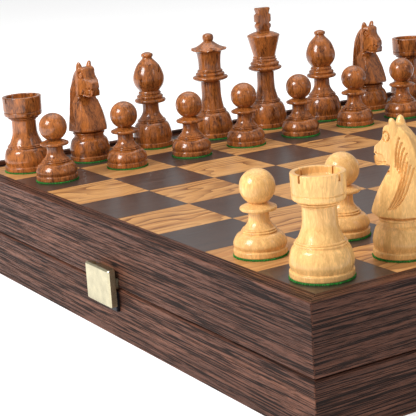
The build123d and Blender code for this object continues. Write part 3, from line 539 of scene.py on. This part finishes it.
def rook(radius, h):
    """The crown's slots are a drop of its top between pairs of close angles."""
    turning = Turning(radius)
    turning.lower_body(radius, (25 * h, 34 * h), (16.2 * h, 68 * h))
    turning.bead(1.0 * h, 1.6 * h)
    turning.run((19.2 * h, 70.4 * h))
    turning.bead(1.2 * h, 2.2 * h)
    turning.run((24.0 * h, 74.0 * h), (25.0 * h, 75.4 * h), (25.3 * h, 79.2 * h), (24.5 * h, 79.6 * h))
    turning.run((24.5 * h, 80.4 * h), (25.4 * h, 80.8 * h), (25.8 * h, 99.4 * h), (25.2 * h, 100 * h))
    turning.run((21.2 * h, 100 * h), (20.6 * h, 99.4 * h), (20.2 * h, 93.2 * h), (19.4 * h, 92.5 * h), (0, 92.5 * h))
    first, half, lip = math.radians(12), 1.2 / 25, 0.0015  # the first slot, half a slot and half its wall's slant
    middles = first + np.arange(4) * FULL / 4

    def from_slot(angles):
        return np.abs((angles[:, None] - middles + FULL / 2) % FULL - FULL / 2).min(1)

    edges = (middles[:, None] + np.array([-half - lip, -half + lip, half - lip, half + lip])).ravel()
    turns = round_about(sizes().steps_round)
    turns = np.sort(np.r_[turns[from_slot(turns) > half + 0.02], edges % FULL])
    grid = turned(turning.sanded(), turns)
    inner, bottom = 19.8 * h, 93.0 * h
    cut = (from_slot(turns) < half)[None] & (np.hypot(grid[..., 0], grid[..., 1]) > inner)
    grid[..., 2] = np.where(cut, np.minimum(grid[..., 2], bottom), grid[..., 2])
    return [closed_shell(grid)]


def bishop(radius, h):
    """Three rings under a mitre with a bead on it. The slit is sawn later."""
    turning = Turning(radius)
    turning.lower_body(radius, (15.3 * h, 28.5 * h), (8.6 * h, 46.0 * h))
    turning.run((12.4 * h, 46.8 * h), (15.0 * h, 47.6 * h))
    turning.bead(1.4 * h, 3.6 * h)
    turning.run((13.0 * h, 52.0 * h))
    turning.bead(1.0 * h, 3.0 * h)
    turning.run((11.2 * h, 56.4 * h))
    turning.bead(0.8 * h, 2.0 * h)
    turning.run((10.6 * h, 59.6 * h))
    turning.curve((15.2 * h, 66.5 * h), (16.2 * h, 74.5 * h), (12.2 * h, 85.5 * h), (5.4 * h, 93.2 * h))
    turning.run((5.0 * h, 94.6 * h))
    turning.bead(1.3 * h, 4.0 * h)
    turning.dome(100 * h)
    return [closed_shell(turned(turning.sanded()))]


def queen(radius, h):
    """Her coronet's hollows are a drop of its rim, and a little way inwards, by nine cosine waves round the axis."""
    turning = Turning(radius)
    turning.lower_body(radius, (13.6 * h, 26.5 * h), (9.4 * h, 54.0 * h))
    turning.run((13.4 * h, 55.2 * h), (15.6 * h, 56.4 * h))
    turning.bead(1.4 * h, 3.0 * h)
    turning.run((13.2 * h, 60.4 * h))
    turning.bead(0.8 * h, 2.2 * h)
    turning.run((11.6 * h, 63.6 * h))
    turning.bead(0.7 * h, 1.6 * h)
    turning.run((10.8 * h, 65.8 * h))
    turning.curve((10.7 * h, 72.0 * h), (11.4 * h, 79.0 * h), (12.6 * h, 83.4 * h))
    turning.run((15.8 * h, 83.8 * h), (17.2 * h, 84.8 * h), (17.2 * h, 85.9 * h))
    turning.curve((12.6 * h, 87.2 * h), (8.6 * h, 89.4 * h), (4.2 * h, 92.6 * h))
    turning.bead(1.1 * h, 6.2 * h)
    turning.dome(100 * h)
    points, steps = 9, 12
    turns = round_about(points * steps)
    grid = turned(turning.sanded(), turns)
    reach, z = np.hypot(grid[..., 0], grid[..., 1]), grid[..., 2]
    rim = np.clip((reach - 13.0 * h) / (3.4 * h), 0, 1) * np.clip((z - 84.0 * h) / (1.4 * h), 0, 1)
    hollow = rim * (0.5 + 0.5 * np.cos(points * turns)) ** 1.3
    drop, drawn_in = 1.3 * h, 0.055
    grid[..., 2] -= drop * hollow
    grid[..., :2] *= (1 - drawn_in * hollow)[..., None]
    return [closed_shell(grid)]


def king(radius, h):
    """Four rings under a flared head, which carries the cross."""
    turning = Turning(radius)
    turning.lower_body(radius, (11.6 * h, 23.0 * h), (7.2 * h, 47.0 * h))
    turning.run((11.0 * h, 48.0 * h), (12.8 * h, 49.0 * h))
    turning.bead(1.2 * h, 2.6 * h)
    turning.run((11.4 * h, 52.4 * h))
    turning.bead(0.8 * h, 2.6 * h)
    turning.run((9.8 * h, 56.2 * h))
    turning.bead(0.6 * h, 1.4 * h)
    turning.run((9.2 * h, 58.4 * h))
    turning.bead(0.6 * h, 1.4 * h)
    turning.run((9.2 * h, 60.4 * h), (13.6 * h, 77.0 * h), (13.2 * h, 77.6 * h))
    turning.dome(81.0 * h)
    return [closed_shell(turned(turning.sanded())), closed_shell(king_cross(h))]


def king_cross(h):
    """The cross: its notched outline carried through the slab's thickness, drawn in by 5% at both faces."""
    foot, arms, head = [(4.8, 79.6), (4.8, 82.0)], [(6.5, 88.7), (6.5, 94.0)], [(5.9, 99.2), (5.2, 100.0)]
    side = np.array([*foot, (6.3, 84.2), (6.3, 85.8), (4.5, 87.5), *arms, (4.6, 95.4), *head]) * h
    outline = np.vstack([side, side[::-1] * (-1, 1)])
    middle = outline.mean(0)
    depth = np.array([-3.2, -2.8, 2.8, 3.2])[:, None] * h
    share = np.array([0.95, 1.0, 1.0, 0.95])[:, None, None]
    flat = middle + (outline - middle) * share
    return np.concatenate([np.broadcast_to(depth[..., None], (4, len(outline), 1)), flat], 2)


def felt_disc(radius):
    """The felt: a thin turned disc whose edge wanders in and out by three waves round it."""
    edge, thick = radius + 0.1 * MM, sizes().felt
    gap = 0.03 * MM  # so that the felt and the board don't lie in one plane
    section = [(edge - 0.1 * MM, gap), (edge, 0.3 * thick), (edge, 0.7 * thick), (edge - 0.2 * MM, thick)]
    outline = np.array([(0.3 * edge, gap), *section, (0.3 * edge, thick)])
    turns = round_about(360)
    grid = turned(outline, turns)
    waves = 0.14 * np.sin(17 * turns) + 0.16 * np.sin(47 * turns + 1.3) + 0.20 * np.sin(113 * turns + 0.4)
    outer = (outline[:, 0] > 0.8 * edge)[:, None]
    grid[..., :2] *= (1 + outer * waves * MM / edge)[..., None]
    return closed_shell(grid)


# ---- carved heads -------------------------------------------------------------------------------------------
def head_loft():
    """The horse's head and neck, facing +X, in hundredths of the man's height.

    Each ring spans from a point of the front line to one of the back line, both in the upright middle plane, and
    swells sideways by its half width. It is a square with its corners cut: the reach in each direction is one over
    the greatest of the cosine, the sine and their sum over the cut, all without their signs.
    """
    stations = np.array([  # front x and z, back x and z, half width
        (18.2, 31.0, -18.6, 31.0, 17.2),
        (18.6, 32.0, -19.0, 32.0, 17.6),
        (17.8, 35.4, -18.6, 36.0, 17.0),
        (12.4, 48.0, -18.0, 49.0, 14.2),
        (6.4, 58.6, -17.4, 60.0, 12.0),
        (2.8, 65.0, -16.6, 68.0, 10.8),
        (3.6, 66.6, -15.8, 73.5, 10.6),
        (8.0, 66.2, -14.4, 78.5, 10.4),
        (14.4, 65.4, -12.4, 83.0, 10.2),
        (16.6, 67.2, -11.0, 85.6, 10.0),
        (17.4, 71.6, -9.2, 88.0, 9.8),
        (17.2, 77.6, -7.2, 90.2, 9.7),
        (16.0, 79.4, -5.6, 91.6, 9.6),
        (11.6, 83.0, -4.0, 92.8, 9.5),
        (10.0, 86.6, -2.0, 93.8, 9.3),
        (9.4, 91.4, 0.8, 94.4, 8.8),
        (7.6, 93.8, 3.6, 94.8, 7.6),
    ])
    line = through(stations, 10)
    front, back, wide = line[:, 0:2], line[:, 2:4], line[:, 4]
    turn = round_about(200)
    cosine, sine = np.abs(np.cos(turn)), np.abs(np.sin(turn))
    chest = np.interp(front[:, 1], (31, 63, 68, 76), (1.48, 1.94, 1.80, 1.66))[:, None]
    cut = np.where(np.cos(turn) > 0, chest, 1.5)
    reach = 1 / np.maximum(np.maximum(cosine, sine), (cosine + sine) / cut)
    chord, swell = reach * np.cos(turn), reach * np.sin(turn)
    flat = (front + back)[:, None] / 2 + (front - back)[:, None] / 2 * chord[..., None]
    narrow = 1 - 0.32 * np.clip((flat[..., 0] - 2) / 14, 0, 1) * np.clip((flat[..., 1] - 60) / 5, 0, 1)
    sideways = wide[:, None] * swell * narrow
    return np.stack([flat[..., 0], sideways, flat[..., 1]], 2)


def ear_loft(side):
    """A blunt ear: oval rings that rise, lean a little outwards and close at the top, hollowed towards the front."""
    share = np.linspace(0, 1, 16)[:, None]
    turn = round_about(28)
    reach = np.sqrt(np.clip(1 - share**3.5, 0, 1)) * (1.10 - 0.42 * share)
    hollow = np.clip(np.cos(turn - side * 0.5), 0, 1) ** 2 * np.sin(math.pi * np.clip(share * 1.1, 0, 1))
    x = 2.0 - 0.4 * share + (4.6 * np.cos(turn) - 2.4 * hollow) * reach
    y = side * (6.0 + 0.8 * share) + 3.3 * np.sin(turn) * reach
    z = 88.5 + 11.4 * share + 0 * turn
    return np.stack([x, y, z], 2)


def groove(x, z, line, width, depth):
    """A round-bottomed groove: depth times one less the square of the distance from the line over the width."""
    held = through(line, 6)
    start, along = held[:-1], np.diff(held, axis=0)
    offset = np.stack([x, z], 1)[:, None] - start
    share = np.clip((offset * along).sum(2) / (along**2).sum(1), 0, 1)
    away = np.hypot(*np.moveaxis(offset - share[..., None] * along, 2, 0)).min(1)
    return depth * np.clip(1 - (away / width) ** 2, 0, 1)


def head_carving(x, z):
    """How deep the knife goes into either side of the head at a place seen from the side.

    The locks, the mouth and the nostril are grooves along lines. The muzzle's facet deepens downwards. The eye
    is a round groove about a round pit: each is one less the square of the distance from its line over its width.
    """
    deep = np.zeros(len(x))
    for lock in range(4):  # short locks behind the cheek
        top, foot = (-4.4 - 2.0 * lock, 86.0 - 3.4 * lock), (-2.6 - 1.6 * lock, 66.0 - 2.0 * lock)
        middle = (top[0] * 0.5 + foot[0] * 0.5 + 0.6, top[1] * 0.5 + foot[1] * 0.5)
        deep = np.maximum(deep, groove(x, z, [top, middle, foot], 0.80, 1.7))
    for lock in range(4):  # long locks that sweep forwards down the neck
        top = (-9.6 - 1.7 * lock, 72.0 - 2.2 * lock)
        low = [(top[0] + 1.6, 60.0 - lock), (top[0] + 5.0, 48.0 - lock), (top[0] + 10.6, 36.5 + 0.4 * lock)]
        deep = np.maximum(deep, groove(x, z, [top, *low], 0.84, 1.8))
    below, ahead = np.clip((74.5 - z) / 1.2, 0, 1), np.clip((x - 4.0 - 0.6 * (z - 66)) / 1.4, 0, 1)
    deep = deep + (0.4 + 0.17 * (75 - z)) * below * ahead * np.clip((z - 60) / 2, 0, 1)  # the muzzle narrows down
    mouth, nostril = [(15.0, 68.0), (11.0, 67.8), (6.0, 68.6)], [(14.9, 74.2), (14.2, 73.0)]
    deep = np.maximum(deep, groove(x, z, mouth, 0.62, 2.6))
    deep = np.maximum(deep, groove(x, z, nostril, 0.95, 1.9))
    from_eye = np.hypot((x - 5.4) / 0.85, z - 86.8)
    deep = np.maximum(deep, 1.7 * np.clip(1 - ((from_eye - 3.3) / 0.85) ** 2, 0, 1))
    return np.maximum(deep, 1.0 * np.clip(1 - (from_eye / 0.9) ** 2, 0, 1))


def carved_head():
    """The head as one skin: the lofts are joined by remeshing, sanded, and the carving pressed into both sides."""
    made = put_mesh("head", several(*(closed_shell(loft) for loft in (head_loft(), ear_loft(-1), ear_loft(1)))))
    skin = made.modifiers.new("skin", "REMESH")
    skin.mode = "VOXEL"
    skin.voxel_size = sizes().carving
    skin.use_smooth_shade = True
    sanding = made.modifiers.new("sanding", "SMOOTH")
    sanding.factor = 0.5
    sanding.iterations = 3
    mesh = settle(made)
    points = points_of(mesh)
    normals = np.empty(3 * len(mesh.vertices), np.float32)
    mesh.vertices.foreach_get("normal", normals)
    facing = np.clip(np.abs(normals.reshape(-1, 3)[:, 1]) * 1.6 - 0.25, 0, 1)  # full where the skin faces sideways
    points[:, 1] -= np.sign(points[:, 1]) * facing * head_carving(points[:, 0], points[:, 2])
    from_nostril, depth = np.hypot(np.abs(points[:, 1]) - 3.6, points[:, 2] - 72.6), 1.8  # the two in front
    points[:, 0] -= depth * np.clip(1 - (from_nostril / 1.2) ** 2, 0, 1) * (points[:, 0] > 12)
    corners, counts = np.empty(len(mesh.loops), np.int32), np.empty(len(mesh.polygons), np.int32)
    mesh.loops.foreach_get("vertex_index", corners)
    mesh.polygons.foreach_get("loop_total", counts)
    bpy.data.objects.remove(made)
    return points, corners, counts


def knight_foot(radius, h):
    """The turned foot: the rim, a low bulb and a ring, with a flat seat for the head."""
    turning = Turning(radius)
    z, seat = turning.line[-1][1], 31.0 * h
    end = (15.2 * h, 24.0 * h)
    rise = end[1] - z
    turning.curve((radius - 0.1 * MM, z + 0.33 * rise), (radius - 0.42 * (radius - end[0]), z + 0.80 * rise), end)
    turning.run((14.7 * h, 26.8 * h))
    turning.bead(1.4 * h, 2.6 * h)
    turning.run((14.4 * h, 29.8 * h), (13.6 * h, 30.2 * h), (13.6 * h, seat), (0, seat))
    return closed_shell(turned(turning.sanded()))


def knight(radius, h):
    """The foot, with the carved head's points times the man's height on it."""
    points, corners, counts = once("head", carved_head)
    return [knight_foot(radius, h), (points * h, corners, counts)]


# ---- men on the board ---------------------------------------------------------------------------------------
def stand(node):
    """Where a man's CAD solid stands: the middle of its foot on the board, its foot's radius and its height."""
    points = points_of(nodes[node].data)
    low, high = points[:, 2].min(), points[:, 2].max()
    foot = points[points[:, 2] < low + sizes().rim]
    (x, y), (far_x, far_y) = foot[:, :2].min(0), foot[:, :2].max(0)
    return Vector(((x + far_x) / 2, (y + far_y) / 2, low)), (far_x - x) / 2, high - low


def cut_slit(made, height):
    """Saws the slanting slit into a bishop's mitre with a thin block."""
    h = height / 100
    reach, kerf, spot, slant = (40 * h, 16 * h), 1.6 * h, (0, 9 * h, 86 * h), math.radians(52)
    corners = np.array([(-1, -1), (1, -1), (1, 1), (-1, 1)]) / 2
    block = np.stack([np.c_[corners * reach, np.full(4, level)] for level in (-kerf / 2, kerf / 2)])
    saw = put_mesh("saw", closed_shell(block))
    saw.data.transform(Matrix.Translation(spot) @ Matrix.Rotation(slant, 4, "X"))
    slit = made.modifiers.new("slit", "BOOLEAN")
    slit.operation = "DIFFERENCE"
    slit.object = saw
    settle(made)
    bpy.data.objects.remove(saw)


def set_out(kind, maker):
    """Makes one kind of man for both armies, each standing in for its CAD solid."""
    felt = once("man_felt", napped_felt, "man_felt")
    for army, (wood_name, facing, flecks) in ARMIES.items():
        wood = once(wood_name, man_wood, wood_name, flecks)
        for node in sorted(name for name in nodes if name.startswith(f"{army}_{kind}_")):
            spot, radius, height = stand(node)
            made = put_mesh(f"{node}_wood", several(*maker(radius, height / 100)), wood)
            if kind == "bishop":
                cut_slit(made, height)
            disc = put_mesh(f"{node}_felt", felt_disc(radius), felt)
            turn = Matrix.Rotation(math.radians(facing + TURNS.get(node, 0)), 4, "Z")
            for piece in (made, disc):
                piece.data.transform(Matrix.Translation(spot) @ turn)
                piece.data.set_sharp_from_angle(angle=SHARP)
                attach(piece, node)
                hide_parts(node)


class CHESSBOX_OT_pawns(bpy.types.Operator):
    """Turns the pawns"""

    bl_idname = "chess_box.pawns"
    bl_label = "Pawns"

    def execute(self, context):
        set_out("pawn", pawn)
        return {"FINISHED"}


class CHESSBOX_OT_rooks(bpy.types.Operator):
    """Turns the rooks and slots their crowns"""

    bl_idname = "chess_box.rooks"
    bl_label = "Rooks"

    def execute(self, context):
        set_out("rook", rook)
        return {"FINISHED"}


class CHESSBOX_OT_bishops(bpy.types.Operator):
    """Turns the bishops and saws the slit of each mitre"""

    bl_idname = "chess_box.bishops"
    bl_label = "Bishops"

    def execute(self, context):
        set_out("bishop", bishop)
        return {"FINISHED"}


class CHESSBOX_OT_queens(bpy.types.Operator):
    """Turns the queens and hollows their coronets"""

    bl_idname = "chess_box.queens"
    bl_label = "Queens"

    def execute(self, context):
        set_out("queen", queen)
        return {"FINISHED"}


class CHESSBOX_OT_kings(bpy.types.Operator):
    """Turns the kings and sets their crosses"""

    bl_idname = "chess_box.kings"
    bl_label = "Kings"

    def execute(self, context):
        set_out("king", king)
        return {"FINISHED"}


class CHESSBOX_OT_knights(bpy.types.Operator):
    """Turns the knights' feet and carves their heads"""

    bl_idname = "chess_box.knights"
    bl_label = "Knights"

    def execute(self, context):
        set_out("knight", knight)
        return {"FINISHED"}


# ---- case, board and metalwork ------------------------------------------------------------------------------
class CHESSBOX_OT_case(bpy.types.Operator):
    """Gives the walls, the border and the lip their open-pored wood"""

    bl_idname = "chess_box.case"
    bl_label = "Case"

    def execute(self, context):
        dress(wenge("wenge"), *(name for name in nodes if name.endswith("_wall")))
        dress(wenge("border_wood", sheen=0.36, pore_depth=0.12 * MM), "board_border", "far_lip")
        return {"FINISHED"}


class CHESSBOX_OT_board(bpy.types.Operator):
    """Gives the 64 squares their veneers"""

    bl_idname = "chess_box.board"
    bl_label = "Board"

    def execute(self, context):
        dress(dark_veneer(), "dark_squares")
        dress(light_veneer(), "light_squares")
        return {"FINISHED"}


class CHESSBOX_OT_inside(bpy.types.Operator):
    """Dresses the panels, the dividers and the felt inside the case"""

    bl_idname = "chess_box.inside"
    bl_label = "Inside"

    def execute(self, context):
        for name in ("base_bottom_panel", "lid_panel", "long_divider", "cross_dividers"):
            low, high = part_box(name)
            grain = along_y if high.y - low.y > high.x - low.x else Finish.place
            dress(wenge(f"{name}_wood", sheen=0.55, pore_depth=0.10 * MM, grain=grain), name)
        dress(napped_felt("lining_felt"), "base_felt_lining")
        return {"FINISHED"}


class CHESSBOX_OT_metalwork(bpy.types.Operator):
    """Dresses the latch, its strike plate, the hinges and the screws"""

    bl_idname = "chess_box.metalwork"
    bl_label = "Latch and hinges"

    def execute(self, context):
        dress(satin_metal("latch_brass", roughness=0.30), "latch_flap", "latch_bracket")
        hinges = satin_metal("hinge_brass", roughness=0.26, brushed=0.9)
        dress(hinges, *(name for name in nodes if name.startswith("hinge_")), "latch_bracket_screws")
        dress(satin_metal("pin_steel", roughness=0.22), "latch_pin")
        # Painted shadow: the magnet block under the flap is black so that it reads as the flap's shadow on the wall.
        # The strike plate is black of its own.
        dress(satin_metal("strike_black", roughness=0.42, metallic=0.5), "latch_magnet", "latch_strike_plate")
        return {"FINISHED"}


# ---- studio -------------------------------------------------------------------------------------------------
class CHESSBOX_OT_stage(bpy.types.Operator):
    """Lays the floor, hangs the soft lights and sets up the camera"""

    bl_idname = "chess_box.stage"
    bl_label = "Stage"

    def execute(self, context):
        lay_floor()
        soft_light("window_left", spot=(0.05, -1.30, 1.00), side=0.6, watts=23)
        soft_light("window_right", spot=(1.25, 0.45, 1.05), side=0.4, watts=1.2)
        soft_light("ceiling", spot=(-0.35, 0.15, 1.50), side=1.4, watts=9)
        light_sky(0.46)
        set_camera()
        bpy.context.scene.view_settings.view_transform = "Standard"
        return {"FINISHED"}


def lay_floor():
    """A pale flat square under the case, which glows a little so that it stays white in the shade."""
    reach = 6.0
    corners = np.array([(-1, -1, 0), (1, -1, 0), (1, 1, 0), (-1, 1, 0)]) * reach
    finish = Finish("floor", base_color=(0.95, 0.95, 0.95), roughness=0.6, specular_ior_level=0.2)
    finish.give(finish.shader.inputs["Emission Color"], (1.0, 1.0, 1.0))
    finish.give(finish.shader.inputs["Emission Strength"], 0.40)
    put_mesh("floor", (corners, np.arange(4), np.array([4])), finish.material)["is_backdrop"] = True


def soft_light(name, spot, side, watts):
    """A square soft box that looks at the middle of the board."""
    lamp = bpy.data.lights.new(name, "AREA")
    lamp.shape = "SQUARE"
    lamp.size, lamp.energy = side, watts
    made = bpy.data.objects.new(name, lamp)
    made.location = spot
    board = Vector((0, 0, 60 * MM))
    made.rotation_euler = (board - Vector(spot)).to_track_quat("-Z", "Y").to_euler()
    bpy.context.scene.collection.objects.link(made)


def light_sky(strength):
    """An even white sky."""
    sky = bpy.data.worlds.new("sky")
    sky.use_nodes = True
    sky.node_tree.nodes["Background"].inputs["Color"].default_value = (1, 1, 1, 1)
    sky.node_tree.nodes["Background"].inputs["Strength"].default_value = strength
    bpy.context.scene.world = sky


def set_camera():
    """The photograph's camera: its place, the ways that it looks and that its picture's right side points."""
    place = Vector((0.63597, -0.50573, 0.24434))
    ahead = Vector((-0.83304, 0.49814, -0.24062)).normalized()
    right = Vector((0.52580, 0.84816, -0.06446)).normalized()
    lens = bpy.data.cameras.new("camera")
    lens.lens, lens.sensor_width = 115.06, 36.0
    lens.clip_start = 0.01
    made = bpy.data.objects.new("camera", lens)
    turn = Matrix((right, right.cross(ahead), -ahead)).transposed()
    made.matrix_world = Matrix.Translation(place) @ turn.to_4x4()
    bpy.context.scene.collection.objects.link(made)
    bpy.context.scene.camera = made


OPERATORS = (
    CHESSBOX_OT_case,
    CHESSBOX_OT_board,
    CHESSBOX_OT_inside,
    CHESSBOX_OT_metalwork,
    CHESSBOX_OT_pawns,
    CHESSBOX_OT_rooks,
    CHESSBOX_OT_bishops,
    CHESSBOX_OT_queens,
    CHESSBOX_OT_kings,
    CHESSBOX_OT_knights,
    CHESSBOX_OT_stage,
)


class CHESSBOX_PT_steps(bpy.types.Panel):
    """The steps that dress the chess box, in order"""

    bl_label = "Chess box"
    bl_space_type = "VIEW_3D"
    bl_region_type = "UI"
    bl_category = "Chess box"

    def draw(self, context):
        for operator in OPERATORS:
            self.layout.operator(operator.bl_idname)


CLASSES = (ChessBoxSizes, ChessBoxColours, *OPERATORS, CHESSBOX_PT_steps)


def register():
    """Adds the classes, and the sizes and colours to every scene."""
    for item in CLASSES:
        bpy.utils.register_class(item)
    bpy.types.Scene.chess_box_sizes = PointerProperty(type=ChessBoxSizes)
    bpy.types.Scene.chess_box_colours = PointerProperty(type=ChessBoxColours)


def unregister():
    """Takes away what register adds, in the other order."""
    del bpy.types.Scene.chess_box_colours
    del bpy.types.Scene.chess_box_sizes
    for item in reversed(CLASSES):
        bpy.utils.unregister_class(item)


def corners():
    """The lowest and the highest corner of what is shown, as plain lists."""
    return [list(corner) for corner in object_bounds()]


def main():
    """Dresses the case and its men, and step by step."""
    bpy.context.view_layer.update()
    register()
    for operator in OPERATORS:
        group, step = operator.bl_idname.split(".")
        getattr(getattr(bpy.ops, group), step)()


if __name__ == "__main__":
    main()
